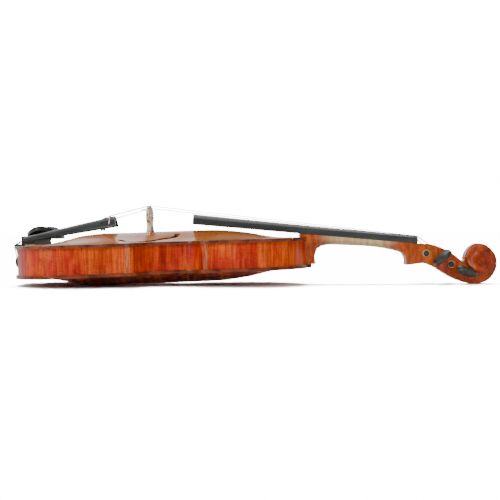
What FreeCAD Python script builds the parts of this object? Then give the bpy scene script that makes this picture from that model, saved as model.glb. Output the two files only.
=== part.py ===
import FreeCAD, Part
import math
import os
import Sketcher
from FreeCAD import Placement, Rotation, Vector

# A full-size violin lying on its back, in millimetres.
# Body frame: x runs from the tail edge to the scroll, y from the treble side (-) to the bass side (+),
# z is zero on the inner face of the back at the tail. Every sub-part is built in that frame and then
# carried into the resting pose by one placement.

SIZES = {
    "body_length": 356.0, "edge_thick": 4.0, "plate_thick": 3.0,
    "top_crest": 16.5, "back_crest": 16.5,
    "rib_height": 31.0, "rib_taper": 1.6, "rib_thick": 1.2, "overhang": 2.5,
    "lining_height": 8.0, "lining_thick": 2.0,
    "purfling_inset": 4.0, "purfling_wide": 1.3, "purfling_deep": 1.8,
    "button_reach": 9.5, "button_half": 10.8,
    "board_length": 270.5, "board_end_half": 21.0, "board_nut_half": 12.0,
    "board_edge": 7.0, "board_arc": 42.0, "board_slope": 6.71,
    "nut_x": 485.5, "nut_seat_z": 23.25, "nut_long": 5.5, "nut_high": 9.2,
    "bridge_x": 164.4, "bridge_top_z": 79.1, "bridge_foot": 5.0, "bridge_crown": 2.6, "bridge_skew": 5.0,
    "bridge_half": 20.5, "bridge_arc": 41.5,
    "saddle_half": 17.5, "saddle_deep": 7.5, "saddle_high": 5.2,
    "button_hole": 4.2, "button_head": 6.3, "button_tall": 3.5, "button_neck": 3.9,
    "tail_x": 9.6, "tail_length": 115.6, "tail_half": 10.5, "tail_wide_half": 20.5,
    "tail_low_z": 45.8, "tail_high_z": 69.0, "tail_wall": 3.2,
    "gut_radius": 0.6, "post_radius": 3.1, "post_x": 159.0, "post_y": -20.0,
    "peg_radius": 3.8, "peg_taper": 0.0167, "peg_gap": 0.035, "peg_shaft": 29.0,
    "thumb_half": 12.0, "thumb_thick": 12.6, "thumb_long": 16.5,
    "barrel_radius": 2.7, "barrel_long": 16.0, "screw_radius": 1.4, "clamp_foot_thick": 1.5,
    "cup_half_x": 23.0, "cup_half_y": 40.0, "cup_thick": 5.0,
    "rest_tilt": 1.683, "rest_x": 292.993, "rest_z": 12.631,
}

STRINGS = {
    "e": {"radius": 0.16, "bridge_y": -17.0, "nut_y": -8.2, "tail_y": -14.0},
    "a": {"radius": 0.34, "bridge_y": -5.8, "nut_y": -2.75, "tail_y": -4.8},
    "d": {"radius": 0.40, "bridge_y": 5.8, "nut_y": 2.75, "tail_y": 4.8},
    "g": {"radius": 0.42, "bridge_y": 17.0, "nut_y": 8.2, "tail_y": 14.0},
}

# centre of each peg in the side view, the side its head is on, and the lane its string winds in
PEGS = {
    "g": {"x": 501.1, "z": 10.3, "side": 1, "lane": 4.6},
    "e": {"x": 518.4, "z": 4.7, "side": -1, "lane": -4.8},
    "d": {"x": 531.5, "z": -3.9, "side": 1, "lane": 2.4},
    "a": {"x": 547.5, "z": -12.7, "side": -1, "lane": -1.6},
}

doc = FreeCAD.newDocument("violin")


def fill_sheet():
    """Write every driving dimension as a named cell."""
    sheet = doc.addObject("Spreadsheet::Sheet", "Dimensions")
    for row, (name, value) in enumerate(SIZES.items(), start=1):
        sheet.set("A%d" % row, name)
        sheet.set("B%d" % row, str(value))
        sheet.setAlias("B%d" % row, name)
    doc.recompute()
    return sheet


sheet = fill_sheet()


def dim(name):
    return float(sheet.get(name))


REST = Placement(
    Vector(-dim("rest_x"), 0, dim("rest_z")),
    Rotation(Vector(0, 1, 0), -dim("rest_tilt")),
)
BODY_LENGTH = dim("body_length")
TOP_Z = dim("rib_height")


def at(x, y, z, axis=Vector(0, 0, 1), angle=0.0):
    """Placement of a piece drawn in its own frame, carried into the resting pose."""
    return REST.multiply(Placement(Vector(x, y, z), Rotation(axis, angle)))


def keep(name, shape):
    """Store a finished shape as a named sub-part in the resting pose."""
    piece = doc.addObject("Part::Feature", name)
    piece.Label = name
    piece.Shape = shape.removeSplitter()
    piece.Placement = REST
    return piece


# ---------------------------------------------------------------- outline and arching

LOWER_BOUT = [(0, 0), (3.6, 30), (14, 60), (38, 91), (72, 104), (104, 98.5), (128, 89.5), (139, 89.6), (146.2, 94.2)]
WAIST = [(152.6, 90.6), (154.6, 76), (165, 61.5), (188, 55.6), (212, 60), (224.5, 70.5), (227, 76)]
UPPER_BOUT = [(233, 79.5), (244, 76.6), (262, 79.6), (287, 84), (318, 74.5), (342, 50), (353, 24), (356, 0)]


def mirrored(points):
    """The same plan points on the treble side, in the opposite order."""
    return [(x, -y) for x, y in points[::-1]]


def curve(points, side=1):
    """Smooth edge through plan points, on the treble side when side is -1."""
    spline = Part.BSplineCurve()
    spline.interpolate([Vector(x, y * side, 0) for x, y in points])
    return spline.toShape()


def tip(first, last, side=1):
    return Part.makeLine(Vector(first[0], first[1] * side, 0), Vector(last[0], last[1] * side, 0))


BOUTS = [
    curve(mirrored(LOWER_BOUT[1:]) + LOWER_BOUT),
    curve(WAIST),
    curve(UPPER_BOUT + mirrored(UPPER_BOUT[:-1])),
    curve(mirrored(WAIST)),
]


def plan_face(paths, edges):
    """Face bounded by the four bouts and the straight corner tips between them."""
    loop = list(edges)
    for path, following in zip(paths, paths[1:] + paths[:1]):
        loop.append(tip(path[-1], following[0]))
    return Part.Face(Part.Wire(Part.__sortEdges__(loop)))


BOUT_ENDS = [[(v.X, v.Y) for v in bout.Vertexes] for bout in BOUTS]
PLAN = plan_face(BOUT_ENDS, BOUTS)
OUTLINE_POINTS = [(p.x, p.y) for p in PLAN.OuterWire.discretize(Number=1400)]


def inset_path(bout, distance):
    """Plan points of one bout moved inwards, those beyond the corner mitres left out."""
    path = []
    for step in range(61):
        share = 0.5 - 0.5 * math.cos(math.pi * step / 60)
        turn = bout.FirstParameter + (bout.LastParameter - bout.FirstParameter) * share
        point = bout.valueAt(turn)
        along = bout.tangentAt(turn)
        x = point.x + distance * along.y
        y = point.y - distance * along.x
        gap = min(math.hypot(px - x, py - y) for px, py in OUTLINE_POINTS)
        if gap > distance - 0.02:
            path.append((x, y))
    return path


def inset_face(distance):
    """Plan face of the outline moved inwards."""
    if distance == 0:
        return PLAN
    paths = [inset_path(bout, distance) for bout in BOUTS]
    return plan_face(paths, [curve(path) for path in paths])


def prism(face, low, high):
    return face.translated(Vector(0, 0, low)).extrude(Vector(0, 0, high - low))


def ring(outer, inner, low, high):
    """Band between two insets of the outline."""
    return prism(inset_face(outer), low, high).cut(prism(inset_face(inner), low - 1, high + 1))


def box(x0, x1, y0, y1, z0, z1):
    return Part.makeBox(x1 - x0, y1 - y0, z1 - z0, Vector(x0, y0, z0))


def within(x, y):
    """True when a plan point lies inside the outline."""
    inside = False
    last = OUTLINE_POINTS[-1]
    for point in OUTLINE_POINTS:
        if (point[1] > y) != (last[1] > y):
            cross = (last[0] - point[0]) * (y - point[1]) / (last[1] - point[1]) + point[0]
            if x < cross:
                inside = not inside
        last = point
    return inside


def edge_distance(x, y):
    """Distance from a plan point to the outline, zero outside it."""
    if not within(x, y):
        return 0.0
    return min(math.hypot(px - x, py - y) for px, py in OUTLINE_POINTS)


def smooth(value):
    """Rise from 0 to 1 with flat ends."""
    value = min(1.0, max(0.0, value))
    return math.sin(value * math.pi / 2) ** 2


def half_width(x):
    """Half width of the arched field, the corners left out."""
    waist = math.exp(-((x - 190.0) / 42.0) ** 2)
    return 92.0 - 0.06 * x - 27.0 * waist


def rise(x, y):
    """Share of the full arching height at a plan point."""
    across = smooth((edge_distance(x, y) / half_width(x) - 0.06) / 0.9)
    along = min(smooth(x / 118.0), smooth((BODY_LENGTH - x) / 122.0))
    return across * along


GRID_STEP = 8.0
GRID_CELLS = [(column, row) for column in range(-1, 46) for row in range(0, 15)]
ARCHING = {cell: rise(cell[0] * GRID_STEP + 0.5, cell[1] * GRID_STEP) for cell in GRID_CELLS}
EDGE_GAP = {cell: edge_distance(cell[0] * GRID_STEP + 0.5, cell[1] * GRID_STEP) for cell in GRID_CELLS}


def below(height, depth=60.0):
    """Solid under a height field given over the plan grid."""
    rows = []
    for column in range(-1, 46):
        x = column * GRID_STEP + 0.5
        rows.append([Vector(x, row * GRID_STEP, height(x, column, abs(row))) for row in range(-14, 15)])
    surface = Part.BSplineSurface()
    surface.interpolate(rows)
    return surface.toShape().extrude(Vector(0, 0, -depth))


def outer_height(crest):
    edge = dim("edge_thick")
    return lambda x, column, row: edge + (crest - edge) * ARCHING[column, row]


def inner_height(crest):
    """Hollow under a plate, kept flat where blocks and linings are glued."""
    edge = dim("edge_thick")
    thick = dim("plate_thick")

    def height(x, column, row):
        gap = min(EDGE_GAP[column, row], x - 10.0, BODY_LENGTH - 11.0 - x)
        share = smooth((gap - 7.0) / 12.0)
        return -1.5 + share * (1.5 + edge - thick + (crest - edge) * ARCHING[column, row])

    return height


def plate(crest, extra=None):
    """Arched plate drawn with its inner rim on z = 0 and its arch upwards."""
    blank = prism(inset_face(0), 0, 30)
    if extra is not None:
        blank = blank.fuse(extra)
    arched = blank.common(below(outer_height(crest)))
    return arched.cut(below(inner_height(crest)))


def purfling_strip():
    inset = dim("purfling_inset")
    low = dim("edge_thick") - dim("purfling_deep")
    return ring(inset, inset + dim("purfling_wide"), low, 12)


def disc(x, y, radius):
    return Part.Face(Part.Wire(Part.makeCircle(radius, Vector(x, y, 0))))


def sound_hole(side):
    """Stem and two round eyes of one sound hole, as a cutting tool."""
    left_edge = [(131, 59.5), (141, 62), (152, 56.5), (166, 46), (182, 37.5), (192, 35), (200, 30)]
    right_edge = [(196.5, 24.5), (190, 31), (180, 33.5), (163, 42), (148, 53), (140, 57.5), (131, 59.5)]
    edges = [curve(left_edge, side=side), tip(left_edge[-1], right_edge[0], side), curve(right_edge, side=side)]
    stem = Part.Face(Part.Wire(Part.__sortEdges__(edges)))
    lower_eye = prism(disc(133.5, 55.0 * side, 5.0), -5, 40)
    upper_eye = prism(disc(198.0, 24.5 * side, 3.6), -5, 40)
    return prism(stem, -5, 40).fuse([lower_eye, upper_eye])


def polygon_face(points):
    return Part.Face(Part.makePolygon(points + [points[0]]))


def side_face(points):
    """Face in the side view through (x, z) points joined by straight lines."""
    return polygon_face([Vector(x, 0, z) for x, z in points])


def cross_prism(face, half):
    """Side-view face thickened equally to both sides."""
    return face.translated(Vector(0, -half, 0)).extrude(Vector(0, 2 * half, 0))


def garland_room():
    """Everything between the inner faces of the two plates."""
    slope = dim("rib_taper") / BODY_LENGTH
    return cross_prism(side_face([(-20, -20 * slope), (400, 400 * slope), (400, TOP_Z), (-20, TOP_Z)]), 130)


def back_pose(shape):
    """Turn a plate drawn arch-up into the back, following the rib taper."""
    lean = math.degrees(math.atan(dim("rib_taper") / BODY_LENGTH))
    shape = shape.mirror(Vector(0, 0, 0), Vector(0, 0, 1))
    shape.rotate(Vector(0, 0, 0), Vector(0, 1, 0), -lean)
    return shape


# ---------------------------------------------------------------- neck and head

def board_under(x):
    """Height of the fingerboard's flat underside."""
    return dim("nut_seat_z") + math.tan(math.radians(dim("board_slope"))) * (dim("nut_x") - x)


def board_half(x):
    spread = dim("board_end_half") - dim("board_nut_half")
    return dim("board_nut_half") + spread * (dim("nut_x") - x) / dim("board_length")


HANDLE = [(364.0, 17.5), (372.0, 22.6), (384.0, 24.6), (412.0, 22.8), (445.0, 19.1), (462.0, 15.2), (476.0, 10.5)]


def handle():
    """Rounded neck shaft lofted under the fingerboard."""
    sections = []
    for x, low in HANDLE:
        half = board_half(x) - 0.05
        top = board_under(x)
        shoulder = top - 2.0
        path = []
        for step in range(9):
            turn = math.pi * step / 8
            path.append(Vector(x, -half * math.cos(turn), shoulder - (shoulder - low) * math.sin(turn) ** 0.8))
        bow = Part.BSplineCurve()
        bow.interpolate(path)
        corners = [path[-1], Vector(x, half, top), Vector(x, -half, top), path[0]]
        sections.append(Part.Wire([bow.toShape()] + Part.makePolygon(corners).Edges))
    return Part.makeLoft(sections, True)


def neck_root():
    """Heel and tenon with sides closing towards the button."""
    rear = [(372.0, 22.8), (368.2, 20.6), (366.0, 16.5), (364.5, 10.8), (365.4, 1.7)]
    face = side_face([(347.5, 1.6), (347.5, board_under(347.5)), (372, board_under(372))] + rear)
    halves = [(10.4, -2.0), (12.2, 16.0), (16.35, 44.0)]
    path = [Vector(340, half, z) for half, z in halves] + [Vector(340, -half, z) for half, z in halves[::-1]]
    return cross_prism(face, 30).common(polygon_face(path).extrude(Vector(40, 0, 0)))


def side_spline(points):
    spline = Part.BSplineCurve()
    spline.interpolate([Vector(x, 0, z) for x, z in points])
    return spline.toShape()


PEGBOX_TOP = [(491.2, 22.5), (500, 22.2), (510.4, 20.6), (519.7, 16.9), (533.8, 8.8), (545.6, -1.2)]
VOLUTE_EDGE = [
    (548.9, 1.5), (553.0, 13.4), (563.3, 20.4), (577.4, 16.8), (587.0, 5.2), (587.2, -11.2),
    (575.7, -25.3), (561.4, -29.1), (547.4, -26.8), (528.5, -18.1), (509.8, -6.1), (500, -1.9),
]
CHIN = [(500, -1.9), (489, -2.0), (481.5, -2.9), (475.4, -2.9)]
NAPE = [(475.4, -2.9), (475.6, 7.0), (471.5, 12.4), (464, 14.7)]
HEAD_PLAN = [(462, 12.75), (476, 13.4), (491, 12.8), (520, 11.0), (548, 9.0), (562, 8.4), (590, 6.2)]


def head():
    """Pegbox and the middle of the scroll, from the side outline and the plan taper."""
    seat = (464, board_under(464))
    front = (dim("nut_x"), dim("nut_seat_z"))
    edges = [side_spline(PEGBOX_TOP), side_spline(VOLUTE_EDGE), side_spline(CHIN), side_spline(NAPE)]
    for first, last in ((PEGBOX_TOP[-1], VOLUTE_EDGE[0]), (NAPE[-1], seat), (seat, front), (front, PEGBOX_TOP[0])):
        edges.append(Part.makeLine(Vector(first[0], 0, first[1]), Vector(last[0], 0, last[1])))
    side_view = Part.Face(Part.Wire(Part.__sortEdges__(edges)))
    path = [Vector(x, half, -60) for x, half in HEAD_PLAN] + [Vector(x, -half, -60) for x, half in HEAD_PLAN[::-1]]
    return cross_prism(side_view, 30).common(polygon_face(path).extrude(Vector(0, 0, 120)))


SCROLL_EYE = (568.0, 1.2)


def spiral_radius(turn):
    """Radius of the volute after a turn in radians from the right-hand side."""
    return 18.0 * math.exp(-0.188 * max(0.0, turn - math.pi))


def volute_step(start, half, inset):
    """One terrace of the volute: a full turn of the spiral, raised to both sides."""
    path = []
    for step in range(13):
        turn = math.radians(start) + 2 * math.pi * step / 12
        radius = spiral_radius(turn) - inset
        path.append((SCROLL_EYE[0] + radius * math.cos(turn), SCROLL_EYE[1] + radius * math.sin(turn)))
    closing = Part.makeLine(Vector(path[-1][0], 0, path[-1][1]), Vector(path[0][0], 0, path[0][1]))
    return cross_prism(Part.Face(Part.Wire([side_spline(path), closing])), half)


def volute():
    shape = volute_step(60, 11.0, 0.0)
    for start, half, inset in ((150, 14.0, 0.4), (240, 17.0, 0.8), (330, 19.2, 1.2)):
        shape = shape.fuse(volute_step(start, half, inset))
    eye = Part.makeCylinder(4.2, 41.6, Vector(SCROLL_EYE[0], -20.8, SCROLL_EYE[1]), Vector(0, 1, 0))
    return shape.fuse(eye)


def pegbox_cavity():
    floor = [(492.5, 5.0), (503, 3.2), (513, -2.4), (530, -13.2), (546, -20.3), (553, -19.8), (555, -14.0), (549.5, -5.5)]
    face = side_face([(492.5, 40)] + floor + [(543.2, -0.5), (543.2, 40)])
    plan = [Vector(490, 8.0, -60), Vector(556, 4.6, -60), Vector(556, -4.6, -60), Vector(490, -8.0, -60)]
    return cross_prism(face, 12).common(polygon_face(plan).extrude(Vector(0, 0, 120)))


def peg_bore(peg):
    """Tapered bore through both cheeks, a running gap wider than the shaft."""
    wide = dim("peg_radius") + dim("peg_gap") + dim("peg_taper") * 3.0
    start = Vector(peg["x"], 16.0 * peg["side"], peg["z"])
    return Part.makeCone(wide, wide - dim("peg_taper") * 40.0, 40.0, start, Vector(0, -peg["side"], 0))


def add_neck():
    shape = handle().fuse([neck_root(), head(), volute()])
    shape = shape.cut(pegbox_cavity())
    for peg in PEGS.values():
        shape = shape.cut(peg_bore(peg))
    return keep("neck", shape)


# ---------------------------------------------------------------- body of the violin

def block_zones():
    """Plan prisms holding the end block, neck block and four corner blocks."""
    room = (-5, TOP_Z + 5)
    zones = {"end": box(-5, 17.5, -24, 24, *room), "neck": box(337.5, 365, -26, 26, *room)}
    for side, name in ((-1, "treble"), (1, "bass")):
        low = [(118, 96), (139, 78), (163, 74), (163, 106), (118, 106)]
        high = [(222, 66), (238, 66), (256, 76), (256, 92), (222, 92)]
        for label, points in (("low_", low), ("high_", high)):
            face = polygon_face([Vector(x, y * side, room[0]) for x, y in points])
            zones[label + name] = face.extrude(Vector(0, 0, room[1] - room[0]))
    return zones


def add_plates():
    mortise = neck_root()
    saddle_slot = box(-1, dim("saddle_deep"), -dim("saddle_half"), dim("saddle_half"), TOP_Z + 1.2, TOP_Z + 20)
    channel = purfling_strip()
    top = plate(dim("top_crest"))
    for side in (1, -1):
        top = top.cut(sound_hole(side))
    strip = top.common(channel).translated(Vector(0, 0, TOP_Z)).cut(saddle_slot).cut(mortise)
    keep("top_plate", top.cut(channel).translated(Vector(0, 0, TOP_Z)).cut(saddle_slot).cut(mortise))
    keep("top_purfling", strip)
    button = prism(disc(BODY_LENGTH - 1.3, 0, dim("button_half")), 0, 30)
    back = plate(dim("back_crest"), button)
    keep("back_plate", back_pose(back.cut(channel)))
    keep("back_purfling", back_pose(back.common(channel)))


def add_garland():
    """Six ribs, the linings between the blocks, and the blocks themselves."""
    room = garland_room()
    mortise = neck_root()
    zones = block_zones()
    outer = dim("overhang")
    inner = outer + dim("rib_thick")
    low = -5
    band = ring(outer, inner, low, TOP_Z).common(room).cut(mortise)
    button_bore = Part.makeCylinder(dim("button_hole"), 60, Vector(-10, 0, 15.5), Vector(1, 0, 0))
    band = band.cut(button_bore)
    for side, name in ((-1, "treble"), (1, "bass")):
        cuts = {
            "lower": [(-20, 0), (-20, 130), (151.5, 130), (139.5, 70), (139.5, 0)],
            "middle": [(139.5, 70), (151.5, 130), (228.5, 130), (233.5, 60), (190, 40)],
            "upper": [(233.5, 60), (228.5, 130), (400, 130), (400, 0), (233.5, 0)],
        }
        for label, points in cuts.items():
            zone = polygon_face([Vector(x, y * side, low) for x, y in points]).extrude(Vector(0, 0, 60))
            keep("%s_rib_%s" % (label, name), band.common(zone))
    inside = prism(inset_face(inner), low, TOP_Z).common(room)
    end = inside.common(zones["end"]).cut(button_bore)
    keep("end_block", end)
    keep("neck_block", inside.common(zones["neck"]).cut(mortise))
    corners = [inside.common(zone) for name, zone in zones.items() if "_" in name]
    keep("corner_blocks", Part.makeCompound(corners))
    lining = ring(inner, inner + dim("lining_thick"), low, TOP_Z).common(room)
    for zone in zones.values():
        lining = lining.cut(zone)
    high = dim("lining_height")
    keep("top_linings", lining.common(box(-20, 400, -130, 130, TOP_Z - high, TOP_Z)))
    slope = dim("rib_taper") / BODY_LENGTH
    floor = side_face([(-20, -20 * slope), (400, 400 * slope), (400, 400 * slope + high), (-20, high - 20 * slope)])
    keep("back_linings", lining.common(cross_prism(floor, 130)))


def under_top():
    """Solid below the hollow of the top, in the body frame."""
    return below(inner_height(dim("top_crest"))).translated(Vector(0, 0, TOP_Z))


def over_top():
    """Solid below the outer face of the top, in the body frame."""
    return below(outer_height(dim("top_crest"))).translated(Vector(0, 0, TOP_Z))


def arch_height(arch, x, y):
    """Height of the arch on a vertical line."""
    upright = Part.makeLine(Vector(x, y, 0), Vector(x, y, 60))
    return arch.common(upright).BoundBox.ZMax


def add_bass_bar():
    """Long bar fitted to the hollow of the top on the bass side."""
    face = side_face([(45, 50), (310, 50), (310, 30), (300, 32), (178, 31.5), (60, 32), (45, 30)])
    bar = cross_prism(face, 2.75).translated(Vector(0, 16.5, 0))
    keep("bass_bar", bar.common(under_top()).common(box(50, 300, 0, 40, TOP_Z, 60)))


def add_sound_post():
    """Round post standing between the two plates behind the treble foot."""
    radius = dim("post_radius")
    rod = Part.makeCylinder(radius, 100, Vector(dim("post_x"), dim("post_y"), -50))
    back_hollow = back_pose(below(inner_height(dim("back_crest"))))
    keep("sound_post", rod.common(under_top()).common(back_hollow))


# ---------------------------------------------------------------- helpers for sketched pieces

def new_body(name):
    body = doc.addObject("PartDesign::Body", name)
    body.Label = name
    return body


def new_sketch(body, name, plane, offset=0.0):
    """Sketch on one of the body's own origin planes, moved along its normal."""
    sketch = body.newObject("Sketcher::SketchObject", name)
    origin_plane = next(part for part in body.Origin.OriginFeatures if part.Role == plane)
    sketch.AttachmentSupport = [(origin_plane, "")]
    sketch.MapMode = "FlatFace"
    sketch.AttachmentOffset = Placement(Vector(0, 0, offset), Rotation())
    return sketch


def draw_loop(sketch, points):
    """Closed loop of lines; a point given with a bulge (x, y, bx, by) is reached by an arc through (bx, by)."""
    last = points[-1]
    first_geometry = len(sketch.Geometry)
    for point in points:
        start = Vector(last[0], last[1], 0)
        end = Vector(point[0], point[1], 0)
        if len(point) == 4:
            sketch.addGeometry(Part.Arc(start, Vector(point[2], point[3], 0), end))
        else:
            sketch.addGeometry(Part.LineSegment(start, end))
        last = point
    count = len(points)
    for index in range(count):
        current = first_geometry + index
        following = first_geometry + (index + 1) % count
        if all(type(sketch.Geometry[i]) is Part.LineSegment for i in (current, following)):
            sketch.addConstraint(Sketcher.Constraint("Coincident", current, 2, following, 1))


def pad(body, name, sketch, length_alias, midplane=False):
    feature = body.newObject("PartDesign::Pad", name)
    feature.Profile = sketch
    feature.setExpression("Length", "Dimensions.%s" % length_alias)
    feature.Midplane = midplane
    return feature


def turned(body, name, sketch, axis="H_Axis"):
    feature = body.newObject("PartDesign::Revolution", name)
    feature.Profile = sketch
    feature.ReferenceAxis = (sketch, [axis])
    feature.Angle = 360.0
    return feature


def crown(half, radius):
    """Drop of an arc of the given radius at a distance from its top."""
    return radius - math.sqrt(radius ** 2 - half ** 2)


# ---------------------------------------------------------------- fingerboard, nut and saddle

def board_section(body, name, offset, half):
    sketch = new_sketch(body, name, "YZ_Plane", offset)
    edge = dim("board_edge")
    top = edge + crown(half, dim("board_arc"))
    draw_loop(sketch, [(-half, 0), (half, 0), (half, edge), (-half, edge, 0, top)])
    return sketch


def add_fingerboard():
    body = new_body("fingerboard")
    nut_end = board_section(body, "nut_end", 0.0, dim("board_nut_half"))
    free_end = board_section(body, "free_end", -dim("board_length"), dim("board_end_half"))
    loft = body.newObject("PartDesign::AdditiveLoft", "board_loft")
    loft.Profile = nut_end
    loft.Sections = [free_end]
    loft.Ruled = True
    hollow = new_sketch(body, "hollow", "YZ_Plane", -dim("board_length"))
    draw_loop(hollow, [(-16.5, 0), (16.5, 0, 0, 4.2)])
    pocket = body.newObject("PartDesign::Pocket", "hollow_pocket")
    pocket.Profile = hollow
    pocket.Length = 110.0
    pocket.Reversed = True
    doc.recompute()
    body.Placement = at(dim("nut_x"), 0, dim("nut_seat_z"), Vector(0, 1, 0), dim("board_slope"))


def add_nut():
    body = new_body("nut")
    half = dim("board_nut_half")
    high = dim("nut_high")
    sketch = new_sketch(body, "nut_end", "YZ_Plane")
    draw_loop(sketch, [(-half, 0), (half, 0), (half, high - 1.8), (-half, high - 1.8, 0, high)])
    pad(body, "nut_pad", sketch, "nut_long")
    doc.recompute()
    body.Placement = at(dim("nut_x"), 0, dim("nut_seat_z"), Vector(0, 1, 0), dim("board_slope"))


def add_saddle():
    body = new_body("saddle")
    deep = dim("saddle_deep")
    high = dim("saddle_high")
    sketch = new_sketch(body, "saddle_side", "XZ_Plane")
    draw_loop(sketch, [(0, 0), (deep, 0), (deep, high - 1.6), (1.2, high, deep * 0.6, high - 0.2), (0, high - 1.2)])
    feature = pad(body, "saddle_pad", sketch, "saddle_half", True)
    feature.setExpression("Length", "2 * Dimensions.saddle_half")
    doc.recompute()
    body.Placement = at(0, 0, TOP_Z + 1.2)


# ---------------------------------------------------------------- bridge, tailpiece and end button

def add_bridge():
    """Bridge blank with its waist, kidneys and heart cut through, thinned towards the top."""
    body = new_body("bridge")
    half = dim("bridge_half")
    radius = dim("bridge_arc")
    arch = over_top()
    deep = dim("bridge_foot") / 2
    tall = dim("bridge_top_z") - arch_height(arch, dim("bridge_x"), half - 5.5)
    inner, middle, outer = [
        max(arch_height(arch, dim("bridge_x") + along, y) for along in (-4.6, 0, 4.6)) + 0.04 + tall - dim("bridge_top_z")
        for y in (9.5, half - 5.5, half)
    ]
    shoulder = tall - crown(18.5, radius)
    right = [(half, outer, half - 5.5, middle), (half, outer + 2.2), (13.0, 6.0, 17.0, 4.2), (11.8, 10.5), (17.0, 15.5, 12.6, 13.4), (19.4, 19.5)]
    right += [(18.5, shoulder, 20.4, 24.0)]
    left = [(-18.5, shoulder, 0, tall), (-19.4, 19.5, -20.4, 24.0), (-17.0, 15.5), (-11.8, 10.5, -12.6, 13.4)]
    left += [(-13.0, 6.0), (-half, outer + 2.2, -17.0, 4.2), (-half, outer)]
    left += [(-9.5, inner, 5.5 - half, middle), (9.5, inner, 0, 8.5)]
    outline = new_sketch(body, "outline", "YZ_Plane")
    draw_loop(outline, right + left)
    pad(body, "blank", outline, "bridge_foot", True)
    holes = new_sketch(body, "holes", "YZ_Plane", -4.0)
    for side in (1, -1):
        draw_loop(holes, [(side * 8.0, 15.0), (side * 8.0, 20.5, side * 15.0, 17.5), (side * 8.0, 15.0, side * 5.5, 17.8)][1:])
    heart = [(0, 11.8), (3.0, 15.6, 2.7, 13.2), (0, 17.0, 1.6, 18.0), (-3.0, 15.6, -1.6, 18.0), (0, 11.8, -2.7, 13.2)]
    draw_loop(holes, heart[1:])
    cut = body.newObject("PartDesign::Pocket", "hole_pocket")
    cut.Profile = holes
    cut.Length = 10.0
    cut.Reversed = True
    thin = new_sketch(body, "taper", "XZ_Plane")
    fine = dim("bridge_crown") / 2
    for side in (1, -1):
        draw_loop(thin, [(side * deep, 4.0), (side * fine, tall + 0.5), (side * (deep + 3), tall + 0.5), (side * (deep + 3), 4.0)])
    taper = body.newObject("PartDesign::Pocket", "taper_pocket")
    taper.Profile = thin
    taper.Length = 60.0
    taper.Midplane = True
    doc.recompute()
    body.Placement = at(dim("bridge_x"), 0, dim("bridge_top_z") - tall, Vector(0, 0, 1), -dim("bridge_skew"))


def add_end_button():
    body = new_body("end_button")
    head = dim("button_head")
    tall = dim("button_tall")
    stem = dim("button_hole") - 0.05
    sketch = new_sketch(body, "button_half", "XZ_Plane")
    neck = dim("button_neck")
    rim = tall - 2.0
    profile = [(0, 0), (0, head - 1.4), (0.6, head - 0.3, 0.2, head - 0.6), (rim - 0.3, head), (rim, neck), (tall, neck)]
    draw_loop(sketch, profile + [(tall, stem), (tall + 14.0, stem - 0.5), (tall + 14.0, 0)])
    turned(body, "button_turn", sketch)
    doc.recompute()
    body.Placement = at(dim("overhang") - tall, 0, 15.5)


def tailpiece_section(x):
    """Half width, edge height and crown height of the tailpiece at a station."""
    share = (x - dim("tail_x")) / dim("tail_length")
    half = dim("tail_half") + (dim("tail_wide_half") - dim("tail_half")) * share ** 1.15
    top = dim("tail_low_z") + (dim("tail_high_z") - dim("tail_low_z")) * share
    side = top - 4.6 - 7.6 * share
    return half, side, top


def tailpiece_loft(stations, wall, drop):
    """Arched loft through stations; wall narrows it and drop lowers its crown and floor."""
    sections = []
    for x in stations:
        half, side, top = tailpiece_section(x)
        half = half - wall
        floor = side - 1.6 - drop
        side = side - drop
        arc = Part.Arc(Vector(x, -half, side), Vector(x, 0, top - drop), Vector(x, half, side)).toShape()
        corners = [Vector(x, half, side), Vector(x, half, floor), Vector(x, -half, floor), Vector(x, -half, side)]
        sections.append(Part.Wire([arc] + Part.makePolygon(corners).Edges))
    return Part.makeLoft(sections, True)


def tailpiece_shell():
    """Outer form of the tailpiece, without its hollow."""
    start = dim("tail_x")
    return tailpiece_loft([start, start + 30, start + 70, start + dim("tail_length")], 0.0, 0.0)


def add_tailpiece():
    start = dim("tail_x")
    end = start + dim("tail_length")
    shell = tailpiece_shell()
    hollow = tailpiece_loft([start + 16, start + 50, end + 1], dim("tail_wall"), dim("tail_wall"))
    shape = shell.cut(hollow)
    for string in STRINGS.values():
        y = string["tail_y"]
        shape = shape.cut(Part.makeCylinder(1.25, 40, Vector(SLOT_X, y, 35)))
        shape = shape.cut(box(SLOT_X, SLOT_X + 6.0, y - 0.6, y + 0.6, 35, 75))
    slant = side_face([(end - 5.5, 80), (end + 5, 80), (end + 5, 50), (end, 50)])
    shape = shape.cut(cross_prism(slant, 40))
    for side in (-5.0, 5.0):
        shape = shape.cut(Part.makeCylinder(1.15, 40, Vector(-4, side, gut_line(-4)), Vector(1, 0, GUT_SLOPE)))
    keep("tailpiece", shape)


SLOT_X = 106.5
FRET_X = 115.0
GUT_SLOPE = 0.185


def gut_line(x):
    """Height of the gut's two holes through the tail end of the tailpiece."""
    return 38.9 + GUT_SLOPE * (x + 4.0)


def crown_height(x, y):
    """Height of the tailpiece's upper face."""
    half, side, top = tailpiece_section(x)
    rise_here = top - side
    radius = (half ** 2 + rise_here ** 2) / (2 * rise_here)
    return top - crown(y, radius)


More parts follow.
